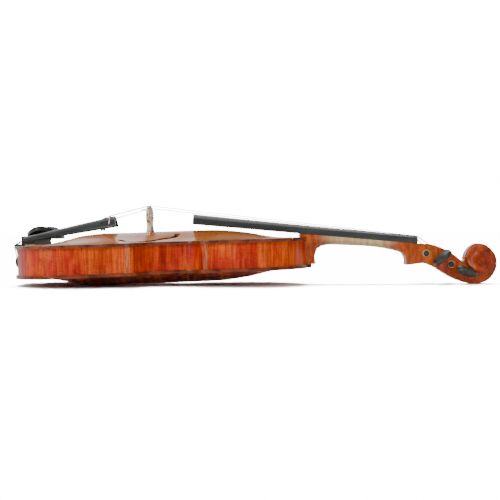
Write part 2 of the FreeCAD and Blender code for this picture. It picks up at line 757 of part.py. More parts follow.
def add_tailpiece_fret():
    """Thin strip over which the strings leave the tailpiece."""
    half, side, top = tailpiece_section(FRET_X)
    arcs = []
    for lift in (1.5, 0.0):
        left = Vector(FRET_X, 1 - half, side + lift)
        right = Vector(FRET_X, half - 1, side + lift)
        arcs.append(Part.Arc(left, Vector(FRET_X, 0, top + lift), right))
    upper, lower = arcs
    ends = [Part.makeLine(upper.StartPoint, lower.StartPoint), Part.makeLine(upper.EndPoint, lower.EndPoint)]
    face = Part.Face(Part.Wire(Part.__sortEdges__([upper.toShape(), lower.toShape()] + ends)))
    strip = face.extrude(Vector(1.6, 0, 0))
    keep("tailpiece_fret", strip.cut(tailpiece_shell()))


def tube(points, radius):
    """Round cord through points, with ball joints at the bends."""
    solids = []
    for start, end in zip(points, points[1:]):
        span = end.sub(start)
        solids.append(Part.makeCylinder(radius, span.Length, start, span))
    for bend in points[1:-1]:
        solids.append(Part.makeSphere(radius, bend))
    return solids[0].fuse(solids[1:]) if len(solids) > 1 else solids[0]


def add_tailgut():
    """Loop from the tailpiece over the saddle and round the end button."""
    radius = dim("gut_radius")
    saddle_top = TOP_Z + 1.2 + dim("saddle_high") + radius
    loop = dim("button_neck") + radius + 0.15
    clear = -radius - 0.15
    path = [(29, 5.0, gut_line(29)), (8.2, 5.0, gut_line(8.2)), (2.0, loop, saddle_top + 0.4)]
    path += [(0.0, loop, saddle_top - 0.6), (clear, loop, saddle_top - 1.9), (clear, loop, TOP_Z - 0.5)]
    path.append((1.4, loop, 17.5))
    side = [Vector(x, y, z) for x, y, z in path]
    under = []
    for step in range(1, 8):
        turn = math.pi * step / 8
        under.append(Vector(1.4, loop * math.cos(turn), 15.5 - loop * math.sin(turn)))
    other = [Vector(p.x, -p.y, p.z) for p in side[::-1]]
    keep("tailgut", tube(side + under + other, radius))


# ---------------------------------------------------------------- strings and pegs

def nut_height(y, radius):
    return dim("nut_seat_z") + dim("nut_high") - crown(y, 42.0) - 0.6 + radius


def bridge_height(y, radius):
    return dim("bridge_top_z") - crown(y, dim("bridge_arc")) + radius


def string_path(name):
    """Points of one string from under the tailpiece to its peg."""
    string = STRINGS[name]
    peg = PEGS[name]
    radius = string["radius"]
    y = string["tail_y"]
    slot = crown_height(SLOT_X, y) + radius + 0.1
    points = [Vector(SLOT_X, y, slot - 7.2), Vector(SLOT_X, y, slot)]
    points.append(Vector(FRET_X + 0.8, y, crown_height(FRET_X, y) + 1.5 + radius + 0.05))
    over = dim("bridge_x") + math.sin(math.radians(dim("bridge_skew"))) * string["bridge_y"]
    points.append(Vector(over, string["bridge_y"], bridge_height(string["bridge_y"], radius) + 0.2))
    seat = nut_height(string["nut_y"], radius) + 0.68
    points.append(Vector(dim("nut_x") + 1.0, string["nut_y"], seat))
    leave = Vector(dim("nut_x") + dim("nut_long") + 0.3, string["nut_y"], seat - 0.55)
    points.append(leave)
    wrap = peg_neck_radius(peg) + radius + 0.12
    reach = math.hypot(peg["x"] - leave.x, leave.z - peg["z"])
    dip = math.atan2(leave.z - peg["z"], peg["x"] - leave.x)
    turn = math.pi - dip - math.acos(wrap / reach)
    touch = Vector(peg["x"] + wrap * math.cos(turn), peg["lane"], peg["z"] + wrap * math.sin(turn))
    points.append(touch)
    return points


def peg_neck_radius(peg):
    """Radius of the shaft where the string winds."""
    depth = 13.0 - peg["lane"] * peg["side"]
    return dim("peg_radius") - dim("peg_taper") * depth


def add_string(name):
    keep("%s_string" % name, tube(string_path(name), STRINGS[name]["radius"]))


def add_winding(name):
    """Turns of string on the shaft, next to the lane where the string arrives."""
    peg = PEGS[name]
    radius = max(0.3, STRINGS[name]["radius"])
    away = -peg["side"] if name in ("g", "e") else peg["side"]
    coil = []
    for turn in range(3):
        y = peg["lane"] + away * (0.15 + STRINGS[name]["radius"] + radius + turn * 2 * radius)
        circle = peg_neck_radius(peg) + radius * 0.9
        coil.append(Part.makeTorus(circle, radius, Vector(peg["x"], y, peg["z"]), Vector(0, 1, 0)))
    shaft = Part.makeCylinder(peg_neck_radius(peg) + 0.03, 30, Vector(peg["x"], -15, peg["z"]), Vector(0, 1, 0))
    keep("%s_winding" % name, coil[0].fuse(coil[1:]).cut(shaft))


def add_peg(name):
    """Tapered shaft with collar and stem turned, and a flat scooped thumb piece."""
    peg = PEGS[name]
    body = new_body("%s_peg" % name)
    radius = dim("peg_radius")
    shaft = dim("peg_shaft")
    sketch = new_sketch(body, "turning", "XZ_Plane")
    thin = radius - dim("peg_taper") * shaft
    profile = [(-7.0, 0), (-7.0, 3.0), (-4.0, 2.9, -5.5, 2.4), (-3.6, 4.6), (-2.0, 5.0, -2.8, 5.2), (-1.4, 4.2)]
    profile += [(0, 4.3), (0, radius), (shaft - 0.6, thin), (shaft, thin - 0.6), (shaft, 0)]
    draw_loop(sketch, profile)
    turned(body, "peg_turning", sketch)
    half = dim("thumb_half")
    long = dim("thumb_long")
    thumb = new_sketch(body, "thumb_outline", "XY_Plane")
    outline = [(-6.5, -4.0), (-6.5, 4.0), (-9.0, half - 0.8, -6.6, 8.2), (-6.5 - long + 3.0, half - 1.2, -15.0, half + 0.6)]
    outline += [(-6.5 - long + 3.0, 1.2 - half, -6.5 - long - 1.6, 0), (-9.0, 0.8 - half, -15.0, -half - 0.6)]
    outline += [(-6.5, -4.0, -6.6, -8.2)]
    draw_loop(thumb, outline[1:])
    pad(body, "thumb_pad", thumb, "thumb_thick", True)
    scoop = new_sketch(body, "scoops", "XZ_Plane")
    back = -6.5 - long - 3.0
    for side in (1, -1):
        draw_loop(scoop, [(-5.0, side * 6.2), (back, side * 3.0, -17.0, side * 1.7), (back, side * 9.0), (-5.0, side * 9.0)])
    cut = body.newObject("PartDesign::Pocket", "scoop_pocket")
    cut.Profile = scoop
    cut.Length = 40.0
    cut.Midplane = True
    doc.recompute()
    turn = Rotation(Vector(0, 0, 1), -90.0 if peg["side"] > 0 else 90.0)
    roll = Rotation(Vector(0, 1, 0), PEG_ROLL[name])
    start = Vector(peg["x"], 13.0 * peg["side"] + 1.4 * peg["side"], peg["z"])
    body.Placement = REST.multiply(Placement(start, roll.multiply(turn)))


PEG_ROLL = {"g": 35.0, "e": -38.0, "d": -60.0, "a": 20.0}


def add_ball_ends():
    balls = []
    for name, string in STRINGS.items():
        start = string_path(name)[0]
        balls.append(Part.makeSphere(1.5, start.sub(Vector(0, 0, 1.6))))
    keep("string_ball_ends", Part.makeCompound(balls))


def span_tube(start, end, first, last, radius, core):
    """Sleeve of cord between two shares of a straight span, open over the string inside."""
    a = start + (end - start) * first
    b = start + (end - start) * last
    outer = tube([a, b], radius)
    return outer.cut(tube([start, end], core))


def add_silks():
    sleeves = []
    for name, string in STRINGS.items():
        path = string_path(name)
        sleeves.append(span_tube(path[2], path[3], 0.02, 0.24, string["radius"] + 0.12, string["radius"] + 0.005))
    keep("string_silks", Part.makeCompound(sleeves))
    path = string_path("e")
    keep("e_string_sleeve", span_tube(path[2], path[3], 0.84, 0.95, 0.75, STRINGS["e"]["radius"] + 0.01))


# ---------------------------------------------------------------- chinrest and its clamp

CUP_CENTRE = (28.0, 55.0)
POSTS = ((1.6, 37.6), (9.0, 59.5))
CLAMP_TOP_Z = TOP_Z + 10.0


def cup_sheet(drop):
    """Solid under the saddle-shaped dish, lowered by a drop."""
    rows = []
    for column in range(9):
        across = -1.7 + 3.4 * column / 8
        line = []
        for row in range(9):
            along = -1.2 + 2.4 * row / 8
            height = TOP_Z + 16.5 - drop + 0.6 * across ** 2 + 11.2 * along ** 2 - 0.6 * across
            x = CUP_CENTRE[0] + across * dim("cup_half_x")
            y = CUP_CENTRE[1] + along * dim("cup_half_y")
            line.append(Vector(x, y, height))
        rows.append(line)
    surface = Part.BSplineSurface()
    surface.interpolate(rows)
    return surface.toShape().extrude(Vector(0, 0, -60))


def add_chinrest():
    """Dished cup over the bass side with a solid foot on the edge of the top."""
    centre = Vector(CUP_CENTRE[0], CUP_CENTRE[1], 0)
    far = centre + Vector(0, dim("cup_half_y"), 0)
    wide = centre + Vector(dim("cup_half_x"), 0, 0)
    rim = Part.Face(Part.Wire(Part.Ellipse(far, wide, centre).toShape()))
    cup = prism(rim, TOP_Z, 80).common(cup_sheet(0.0)).cut(cup_sheet(dim("cup_thick")))
    foot = foot_plan(0.0, TOP_Z + 5.4, TOP_Z + 16).common(cup_sheet(2.0))
    shape = cup.fuse(foot)
    for arm in clamp_arms():
        shape = shape.cut(arm)
    keep("chinrest", shape)
    keep("chinrest_cork", foot_plan(1.0, TOP_Z + 2.5, TOP_Z + 5.4).cut(over_top()))


def foot_plan(inset, low, high):
    """Rounded strip following the edge of the top under the cup."""
    corners = [(3, 18.5), (19, 18.5), (34, 60), (24, 74), (10, 62), (2, 34)]
    zone = polygon_face([Vector(x, y, 0) for x, y in corners])
    return prism(inset_face(1.0 + inset), low, high).common(prism(zone, low, high))


def clamp_arms():
    """Bent wire arms from the tops of the two clamp posts into the chinrest foot."""
    arms = []
    for x, y in POSTS:
        top = Vector(x, y, CLAMP_TOP_Z)
        arms.append(tube([top - Vector(0, 0, 13.5), top, top + Vector(8.5, 3.0, 0)], dim("screw_radius")))
    return arms


def add_clamp():
    """Two threaded posts, the barrels that turn on them and the foot under the back."""
    keep("clamp_arms", Part.makeCompound(clamp_arms()))
    radius = dim("barrel_radius")
    gap = 0.05
    for index, (x, y) in enumerate(POSTS, start=1):
        base = Vector(x, y, 9.0)
        barrel = Part.makeCylinder(radius, dim("barrel_long") + 3.0, base)
        bore = Part.makeCylinder(dim("screw_radius") + gap, 40, base - Vector(0, 0, 5))
        cross = Part.makeCylinder(0.8, 20, base + Vector(-10, 0, 9.5), Vector(1, 0, 0))
        keep("clamp_barrel_%d" % index, barrel.cut(bore).cut(cross))
    thick = dim("clamp_foot_thick")
    low = -7.0
    legs = [Part.makeCylinder(dim("screw_radius"), 22.0, Vector(x, y, low)) for x, y in POSTS]
    zone = polygon_face([Vector(-0.6, 35, 0), Vector(16, 31, 0), Vector(30, 54, 0), Vector(8.4, 62.4, 0)])
    shoe = prism(zone, low, low + thick)
    keep("clamp_foot", shoe.fuse(legs))
    cork = prism(inset_face(1.2), low + thick, -4.1)
    keep("clamp_foot_cork", cork.common(prism(zone, -10, 0)))


# ---------------------------------------------------------------- build, check and export

def build():
    add_plates()
    add_garland()
    add_bass_bar()
    add_sound_post()
    add_neck()
    add_fingerboard()
    add_nut()
    add_saddle()
    add_bridge()
    add_end_button()
    add_tailpiece()
    add_tailpiece_fret()
    add_tailgut()
    for name in STRINGS:
        add_string(name)
        add_winding(name)
        add_peg(name)
    add_ball_ends()
    add_silks()
    add_chinrest()
    add_clamp()
    doc.recompute()


def check_and_export():
    os.makedirs("parts", exist_ok=True)
    for item in doc.Objects:
        if "Invalid" in item.State or "Error" in item.State:
            raise ValueError("%s has not been built" % item.Label)
    for item in doc.Objects:
        if item.TypeId not in ("Part::Feature", "PartDesign::Body"):
            continue
        if item.Shape.isNull() or not item.Shape.isValid():
            raise ValueError("%s has no valid shape" % item.Label)
        item.Shape.exportStep("parts/%s.step" % item.Label)


build()
check_and_export()
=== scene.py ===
import math

import bpy
import numpy as np
from mathutils import Matrix, Vector

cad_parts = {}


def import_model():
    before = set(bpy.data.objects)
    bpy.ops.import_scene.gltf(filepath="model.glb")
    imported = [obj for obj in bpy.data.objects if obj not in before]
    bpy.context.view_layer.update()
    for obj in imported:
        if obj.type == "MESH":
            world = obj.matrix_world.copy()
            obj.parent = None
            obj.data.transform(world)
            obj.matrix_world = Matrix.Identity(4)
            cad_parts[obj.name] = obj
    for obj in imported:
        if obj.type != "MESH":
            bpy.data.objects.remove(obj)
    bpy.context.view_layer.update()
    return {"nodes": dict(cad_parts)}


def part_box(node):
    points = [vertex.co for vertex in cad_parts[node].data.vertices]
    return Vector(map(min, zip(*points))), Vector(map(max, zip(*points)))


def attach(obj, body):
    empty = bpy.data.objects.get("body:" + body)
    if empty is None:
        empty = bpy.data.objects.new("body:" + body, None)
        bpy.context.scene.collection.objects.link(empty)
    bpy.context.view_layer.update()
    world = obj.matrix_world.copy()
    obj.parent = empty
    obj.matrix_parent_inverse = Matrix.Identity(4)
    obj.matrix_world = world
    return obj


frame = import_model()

# ---------------------------------------------------------------- body frame of the violin
# x from the tail edge to the scroll, y from treble (-) to bass (+), z from the back's inner face, in mm.
# As it rests, that frame is tilted about the Y axis by TILT and moved by REST_X and REST_Z.

TILT = math.radians(1.683)
REST_X = 292.993
REST_Z = 12.631
MM = 0.001


def place(x, y, z):
    """Row-frame point, in metres, of a body-frame point in mm."""
    return (
        (x * math.cos(TILT) - z * math.sin(TILT) - REST_X) * MM,
        y * MM,
        (x * math.sin(TILT) + z * math.cos(TILT) + REST_Z) * MM,
    )


# ---------------------------------------------------------------- materials

def new_material(name):
    mat = bpy.data.materials.new(name)
    mat.use_nodes = True
    tree = mat.node_tree
    return mat, tree, tree.nodes["Principled BSDF"]


def node(tree, kind, **values):
    """New shader node; its choices are set by name, and its sockets by name with _ for a space."""
    made = tree.nodes.new(kind)
    for key, value in values.items():
        if key in ("operation", "bands_direction", "wave_type"):
            setattr(made, key, value)
        else:
            made.inputs[key.replace("_", " ")].default_value = value
    return made


def ramp(tree, source, stops):
    """Colours by position along source, from (position, colour) stops."""
    made = tree.nodes.new("ShaderNodeValToRGB")
    elements = made.color_ramp.elements
    while len(elements) < len(stops):
        elements.new(0.5)
    for element, (place_on_ramp, colour) in zip(elements, stops):
        element.position = place_on_ramp
        element.color = (*colour, 1.0)
    tree.links.new(source, made.inputs["Fac"])
    return made.outputs["Color"]


def mixed(tree, factor, first, second, blend="MIX"):
    """Blend of two colours; factor and colours are sockets or fixed values."""
    made = tree.nodes.new("ShaderNodeMix")
    made.data_type = "RGBA"
    made.blend_type = blend
    for socket, value in (("Factor", factor), ("A", first), ("B", second)):
        colour_only = socket != "Factor"
        target = next(i for i in made.inputs if i.name == socket and (i.type == "RGBA" or not colour_only))
        if isinstance(value, (int, float)):
            target.default_value = value
        elif isinstance(value, tuple):
            target.default_value = (*value, 1.0)
        else:
            tree.links.new(value, target)
    return next(o for o in made.outputs if o.type == "RGBA")


def stretched(tree, scale, turn=(0, 0, 0)):
    """Object coordinates stretched along the grain."""
    coords = tree.nodes.new("ShaderNodeTexCoord")
    mapping = tree.nodes.new("ShaderNodeMapping")
    mapping.inputs["Scale"].default_value = scale
    mapping.inputs["Rotation"].default_value = turn
    tree.links.new(coords.outputs["Object"], mapping.inputs["Vector"])
    return mapping.outputs["Vector"]


def noise(tree, vector, scale, detail=4.0, rough=0.55, distortion=0.0):
    made = node(tree, "ShaderNodeTexNoise", Scale=scale, Detail=detail, Roughness=rough,
                Distortion=distortion)
    tree.links.new(vector, made.inputs["Vector"])
    return made.outputs["Fac"]


def bump(tree, shader, height, strength, distance=0.0002):
    made = node(tree, "ShaderNodeBump", Strength=strength, Distance=distance)
    tree.links.new(height, made.inputs["Height"])
    tree.links.new(made.outputs["Normal"], shader.inputs["Normal"])


def position(tree):
    """Object coordinates, in metres, split into x, y and z."""
    coords = tree.nodes.new("ShaderNodeTexCoord")
    split = tree.nodes.new("ShaderNodeSeparateXYZ")
    tree.links.new(coords.outputs["Object"], split.inputs["Vector"])
    return split.outputs


def remap(tree, source, low, high, new_low=0.0, new_high=1.0):
    made = node(tree, "ShaderNodeMapRange", From_Min=low, From_Max=high, To_Min=new_low, To_Max=new_high)
    tree.links.new(source, made.inputs["Value"])
    return made.outputs["Result"]


def varnish(shader, rough, coat, specular, coat_rough):
    shader.inputs["Roughness"].default_value = rough
    shader.inputs["Specular IOR Level"].default_value = specular
    shader.inputs["Coat Weight"].default_value = coat
    shader.inputs["Coat Roughness"].default_value = coat_rough
    shader.inputs["Coat IOR"].default_value = 1.45


WHITE = (1.0, 1.0, 1.0)
THIN_FLAME = 2.3


def flamed_maple(name, tones, flame, patch=(15, 15, 6), fine=(70, 420, 900), wear_and_painted_light=None, coat=0.3):
    """Glossy varnish over maple: flames across the grain, worn and built-up patches, fine pores."""
    mat, tree, shader = new_material(name)
    deep, middle, bright = tones
    lean = stretched(tree, flame, (0, math.radians(12), 0))
    broad_flame = noise(tree, lean, 1.0, 2.0, 0.55, 0.5)
    thin_lean = stretched(tree, tuple(THIN_FLAME * v for v in flame), (0, math.radians(9), 0))
    thin_flame = noise(tree, thin_lean, 1.0, 2.0)
    patches = noise(tree, stretched(tree, patch), 1.0, 3.0, 0.6)
    pores = noise(tree, stretched(tree, fine), 1.0, 4.0)
    colour = ramp(tree, broad_flame, [(0.34, deep), (0.5, middle), (0.64, bright)])
    worn = ramp(tree, patches, [(0.40, deep), (0.5, middle), (0.60, bright)])
    colour = mixed(tree, 0.62, colour, worn)
    stripes = ramp(tree, thin_flame, [(0.36, (0.42, 0.36, 0.32)), (0.6, WHITE)])
    colour = mixed(tree, 0.7, colour, stripes, "MULTIPLY")
    specks = ramp(tree, pores, [(0.38, (0.35, 0.22, 0.15)), (0.6, WHITE)])
    colour = mixed(tree, 0.25, colour, specks, "MULTIPLY")
    # the caller's marks: the bare handle, or painted highlights and painted shade
    if wear_and_painted_light is not None:
        colour = wear_and_painted_light(tree, colour)
    tree.links.new(colour, shader.inputs["Base Color"])
    varnish(shader, 0.34, coat, 0.08, 0.05)
    tree.links.new(remap(tree, patches, 0.3, 0.7, 0.26, 0.42), shader.inputs["Roughness"])
    bump(tree, shader, pores, 0.10)
    return mat


def spruce(name, dark, light, deep):
    """Varnished spruce with straight grain lines along the violin."""
    mat, tree, shader = new_material(name)
    grain = noise(tree, stretched(tree, (3, 850, 30)), 1.0, 3.0, 0.5, 0.1)
    patches = noise(tree, stretched(tree, (9, 14, 9)), 1.0, 3.0)
    colour = ramp(tree, grain, [(0.38, dark), (0.58, light)])
    colour = mixed(tree, 0.45, colour, ramp(tree, patches, [(0.34, deep), (0.5, dark), (0.66, light)]))
    # darker varnish on the plate's edges and painted shade in its f-hole walls
    colour = edges_and_painted_shade(tree, colour)
    tree.links.new(colour, shader.inputs["Base Color"])
    varnish(shader, 0.3, 0.3, 0.15, 0.08)
    tree.links.new(remap(tree, patches, 0.3, 0.7, 0.24, 0.38), shader.inputs["Roughness"])
    bump(tree, shader, grain, 0.08)
    return mat


def raw_wood(name, dark, light, scale=(20, 300, 300), flecks=None):
    """Unvarnished wood; flecks gives the stretch of small dark rays."""
    mat, tree, shader = new_material(name)
    grain = noise(tree, stretched(tree, scale), 1.0, 5.0)
    colour = ramp(tree, grain, [(0.3, dark), (0.7, light)])
    if flecks:
        spots = noise(tree, stretched(tree, flecks), 1.0, 1.0)
        dark_spots = ramp(tree, spots, [(0.56, WHITE), (0.62, (0.28, 0.16, 0.09))])
        colour = mixed(tree, 1.0, colour, dark_spots, "MULTIPLY")
    tree.links.new(colour, shader.inputs["Base Color"])
    tree.links.new(remap(tree, grain, 0.3, 0.7, 0.5, 0.7), shader.inputs["Roughness"])
    bump(tree, shader, grain, 0.2)
    return mat


def ebony(name):
    """Near-black oiled wood, faintly grey-green, with pores and lighter streaks."""
    mat, tree, shader = new_material(name)
    pores = noise(tree, stretched(tree, (60, 900, 900)), 1.0, 5.0)
    streak = noise(tree, stretched(tree, (10, 120, 120)), 1.0, 3.0)
    colour = ramp(tree, streak, [(0.35, (0.010, 0.013, 0.013)), (0.7, (0.034, 0.037, 0.034))])
    tree.links.new(colour, shader.inputs["Base Color"])
    tree.links.new(remap(tree, pores, 0.2, 0.8, 0.25, 0.46), shader.inputs["Roughness"])
    shader.inputs["Specular IOR Level"].default_value = 0.32
    bump(tree, shader, pores, 0.15)
    return mat


def metal(name, colour, rough, ridges=None, shine=1.0):
    """Metal with faint smears; ridges gives the windings of an overspun string."""
    mat, tree, shader = new_material(name)
    smear = noise(tree, stretched(tree, (200, 200, 200)), 1.0, 3.0)
    tone = ramp(tree, smear, [(0.3, tuple(c * 0.75 for c in colour)), (0.7, colour)])
    tree.links.new(tone, shader.inputs["Base Color"])
    shader.inputs["Metallic"].default_value = shine
    tree.links.new(remap(tree, smear, 0.3, 0.7, rough, rough + 0.12), shader.inputs["Roughness"])
    if ridges:
        turns = node(tree, "ShaderNodeTexWave", wave_type="BANDS", bands_direction="X", Scale=ridges)
        coords = tree.nodes.new("ShaderNodeTexCoord")
        tree.links.new(coords.outputs["Object"], turns.inputs["Vector"])
        bump(tree, shader, turns.outputs["Fac"], 0.5, 0.00006)
    return mat


def soft_stuff(name, dark, light, rough=0.7):
    """Thread, cork, bone and gut: fine-grained, with no gloss or little."""
    mat, tree, shader = new_material(name)
    grains = noise(tree, stretched(tree, (1, 1, 1)), 400.0, 5.0)
    tree.links.new(ramp(tree, grains, [(0.3, dark), (0.7, light)]), shader.inputs["Base Color"])
    tree.links.new(remap(tree, grains, 0.3, 0.7, rough - 0.08, rough + 0.08), shader.inputs["Roughness"])
    bump(tree, shader, grains, 0.3)
    return mat


def edges_and_painted_shade(tree, colour):
    """Darker, built-up varnish on the narrow edges of a plate, and painted shade in the cut walls of its
    f-holes.
    """
    coords = tree.nodes.new("ShaderNodeTexCoord")
    split = tree.nodes.new("ShaderNodeSeparateXYZ")
    tree.links.new(coords.outputs["Normal"], split.inputs["Vector"])
    flat = node(tree, "ShaderNodeMath", operation="ABSOLUTE")
    tree.links.new(split.outputs["Z"], flat.inputs[0])
    share = remap(tree, flat.outputs["Value"], 0.9, 0.35)
    smudge = noise(tree, stretched(tree, (60, 60, 60)), 1.0, 3.0)
    # darker varnish on the edges and painted shade in the f-hole walls, wherever the surface faces
    # sideways
    edge_and_shade_tint = ramp(tree, smudge, [(0.35, (0.060, 0.012, 0.004)), (0.65, (0.17, 0.036, 0.010))])
    return mixed(tree, share, colour, edge_and_shade_tint)


def bare_handle(tree, colour):
    """Unvarnished, hand-polished wood between the heel and the head."""
    x = position(tree)["X"]
    ripple = noise(tree, stretched(tree, (60, 60, 60)), 1.0, 3.0)
    grain = noise(tree, stretched(tree, (190, 300, 60)), 1.0, 4.0)
    bare = ramp(tree, grain, [(0.3, (0.34, 0.22, 0.09)), (0.7, (0.56, 0.41, 0.21))])
    drift = node(tree, "ShaderNodeMath", operation="MULTIPLY_ADD")
    tree.links.new(ripple, drift.inputs[0])
    drift.inputs[1].default_value = 0.02
    tree.links.new(x, drift.inputs[2])
    left = remap(tree, drift.outputs["Value"], BARE_FROM - 0.008, BARE_FROM + 0.022)
    right = remap(tree, drift.outputs["Value"], BARE_TO + 0.018, BARE_TO - 0.006)
    share = node(tree, "ShaderNodeMath", operation="MULTIPLY")
    tree.links.new(left, share.inputs[0])
    tree.links.new(right, share.inputs[1])
    return mixed(tree, share.outputs["Value"], colour, bare)


def corner_painted_highlight(tree, colour):
    """Painted highlight: a pale stripe where two ribs meet at a corner."""
    x = position(tree)["X"]
    smudge = noise(tree, stretched(tree, (500, 500, 70)), 1.0, 3.0)
    # tones of the painted highlight at each corner
    pale = ramp(tree, smudge, [(0.4, (0.10, 0.03, 0.012)), (0.62, (0.38, 0.20, 0.10))])
    for corner in RIB_CORNERS:
        gap = node(tree, "ShaderNodeMath", operation="SUBTRACT")
        tree.links.new(x, gap.inputs[0])
        gap.inputs[1].default_value = corner
        reach = node(tree, "ShaderNodeMath", operation="ABSOLUTE")
        tree.links.new(gap.outputs["Value"], reach.inputs[0])
        share = remap(tree, reach.outputs["Value"], 0.0036, 0.0010, 0.0, 0.6)
        colour = mixed(tree, share, colour, pale)
    return colour


# where the unvarnished handle begins and ends, and where the ribs meet, along the row frame's X
BARE_FROM = place(384, 0, 25)[0]
BARE_TO = place(462, 0, 18)[0]
RIB_CORNERS = tuple(corner.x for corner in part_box("middle_rib_treble"))

RIB_TONES = ((0.24, 0.006, 0.001), (0.47, 0.022, 0.002), (0.68, 0.10, 0.004))
HEAD_TONES = ((0.24, 0.014, 0.002), (0.38, 0.046, 0.004), (0.50, 0.10, 0.008))
BACK_TONES = ((0.20, 0.012, 0.004), (0.42, 0.045, 0.006), (0.66, 0.14, 0.015))

# the ribs carry a painted highlight at each corner
RIB = flamed_maple("rib_maple", RIB_TONES, (300, 30, 14), (26, 15, 14), wear_and_painted_light=corner_painted_highlight, coat=0.15)
NECK_WOOD = flamed_maple("neck_maple", HEAD_TONES, (90, 40, 22), (16, 16, 16), (120, 420, 500),
                         wear_and_painted_light=bare_handle)
TOP = spruce("top_spruce", (0.34, 0.085, 0.010), (0.50, 0.17, 0.028), (0.22, 0.040, 0.006))
# the back gets darker varnish and painted shade on every side-facing surface
BACK = flamed_maple("back_maple", BACK_TONES, (150, 9, 20), wear_and_painted_light=edges_and_painted_shade)
RAW = raw_wood("raw_spruce", (0.50, 0.36, 0.20), (0.72, 0.56, 0.36))
BRIDGE_WOOD = raw_wood("bridge_maple", (0.56, 0.40, 0.24), (0.84, 0.66, 0.46), (300, 60, 300),
                       flecks=(700, 500, 300))
EBONY = ebony("ebony")
BARE_RING = raw_wood("worn_ring", (0.30, 0.17, 0.08), (0.55, 0.36, 0.20), (300, 300, 300))
PURFLING = raw_wood("purfling", (0.015, 0.012, 0.01), (0.05, 0.04, 0.03))
STRING = metal("string_metal", (0.035, 0.035, 0.034), 0.45, 2200.0, 0.3)
STEEL = metal("clamp_metal", (0.8, 0.8, 0.8), 0.15)
BRASS = metal("brass_ball", (0.8, 0.6, 0.28), 0.3)
SILK = soft_stuff("silk", (0.10, 0.012, 0.09), (0.34, 0.05, 0.28))
CORK = soft_stuff("cork", (0.35, 0.20, 0.10), (0.62, 0.42, 0.24))
BONE = soft_stuff("bone", (0.36, 0.26, 0.18), (0.58, 0.45, 0.34), 0.35)
GUT = soft_stuff("gut", (0.02, 0.02, 0.02), (0.07, 0.07, 0.06), 0.5)

NODE_LOOKS = {
    "top_plate": TOP, "back_plate": BACK, "top_purfling": PURFLING, "back_purfling": PURFLING,
    "neck": NECK_WOOD, "bridge": BRIDGE_WOOD, "tailpiece_fret": BONE, "tailgut": GUT, "string_silks": SILK,
    "e_string_sleeve": GUT, "string_ball_ends": BRASS, "chinrest_cork": CORK, "clamp_foot_cork": CORK,
}
INSIDE_PIECES = (
    "end_block", "neck_block", "corner_blocks", "top_linings", "back_linings", "bass_bar", "sound_post",
)


def look_for(name):
    """Material of a CAD node; whatever isn't named is ebony."""
    if name in NODE_LOOKS:
        return NODE_LOOKS[name]
    if "_rib_" in name:
        return RIB
    if "string" in name or "winding" in name:
        return STRING
    if name.startswith("clamp"):
        return STEEL
    if name in INSIDE_PIECES:
        return RAW
    return EBONY


for name, part in frame["nodes"].items():
    part.data.materials.clear()
    part.data.materials.append(look_for(name))

# ---------------------------------------------------------------- meshes made here

def mesh_piece(name, points, faces, material, body="violin"):
    """New piece from body-frame points in mm, riding on a body."""
    mesh = bpy.data.meshes.new(name)
    mesh.from_pydata([place(*point) for point in points], [], faces)
    mesh.validate()
    mesh.update()
    mesh.materials.append(material)
    mesh.shade_smooth()
    piece = bpy.data.objects.new(name, mesh)
    bpy.context.collection.objects.link(piece)
    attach(piece, body)


def quads(rows, columns, closed=False):
    """Faces of a grid of rows by columns; closed joins the last row to the first."""
    faces = []
    for row in range(rows if closed else rows - 1):
        following = (row + 1) % rows
        for column in range(columns - 1):
            faces.append((row * columns + column, following * columns + column,
                          following * columns + column + 1, row * columns + column + 1))
    return faces


# the scroll, in body-frame mm: place and radius of the eye, outer radius and turns of the spiral
EYE_X, EYE_Z = 567.6, 1.0
EYE_RADIUS = 3.7
SCROLL_RADIUS = 18.15
SPIRAL_TIGHTENING = 0.155
SPIRAL_START, SPIRAL_TURNED = 50, 670
SPIRAL_STEPS = 190
EYE_STEPS = 32


def volute_radius(turn):
    """Outer radius of the spiral, steady up to half a turn and then shrinking."""
    return SCROLL_RADIUS * math.exp(-SPIRAL_TIGHTENING * max(0.0, turn - math.pi))


def volute_half(turn):
    """Half width of the scroll, growing turn by turn towards the eye."""
    stops = [(50, 10.6), (150, 15.1), (240, 18.1), (330, 20.3), (520, 21.2), (760, 21.9)]
    angles, widths = zip(*stops)
    return float(np.interp(math.degrees(turn), angles, widths))


def volute(side):
    """Fluted spiral of one side of the scroll: chamfered rim, hollowed face and the wall below it."""
    points = []
    for step in range(SPIRAL_STEPS):
        turn = math.radians(SPIRAL_START + SPIRAL_TURNED * step / (SPIRAL_STEPS - 1))
        outer = volute_radius(turn)
        inner = max(EYE_RADIUS - 0.3, volute_radius(turn + 2 * math.pi))
        half = volute_half(turn)
        below = 6.2
        if turn > math.radians(410):
            below = volute_half(turn - 2 * math.pi) - 2.2
        span = outer - inner
        chamfer = min(0.7, 0.16 * span)
        dip = min(1.25, 0.16 * span)
        profile = [(outer, below), (outer, half - chamfer), (outer - 0.35 * chamfer, half - 0.3 * chamfer)]
        profile += [(outer - chamfer, half), (outer - 1.9 * chamfer, half - 0.02)]
        for share, depth in ((0.34, 0.45), (0.5, 0.85), (0.66, 1.0), (0.82, 0.92), (1.0, 0.62)):
            profile.append((outer - span * share, half - dip * depth))
        for radius, width in profile:
            points.append((EYE_X + radius * math.cos(turn), side * width, EYE_Z + radius * math.sin(turn)))
    name = "volute_treble" if side < 0 else "volute_bass"
    mesh_piece(name, points, quads(SPIRAL_STEPS, len(profile)), NECK_WOOD)


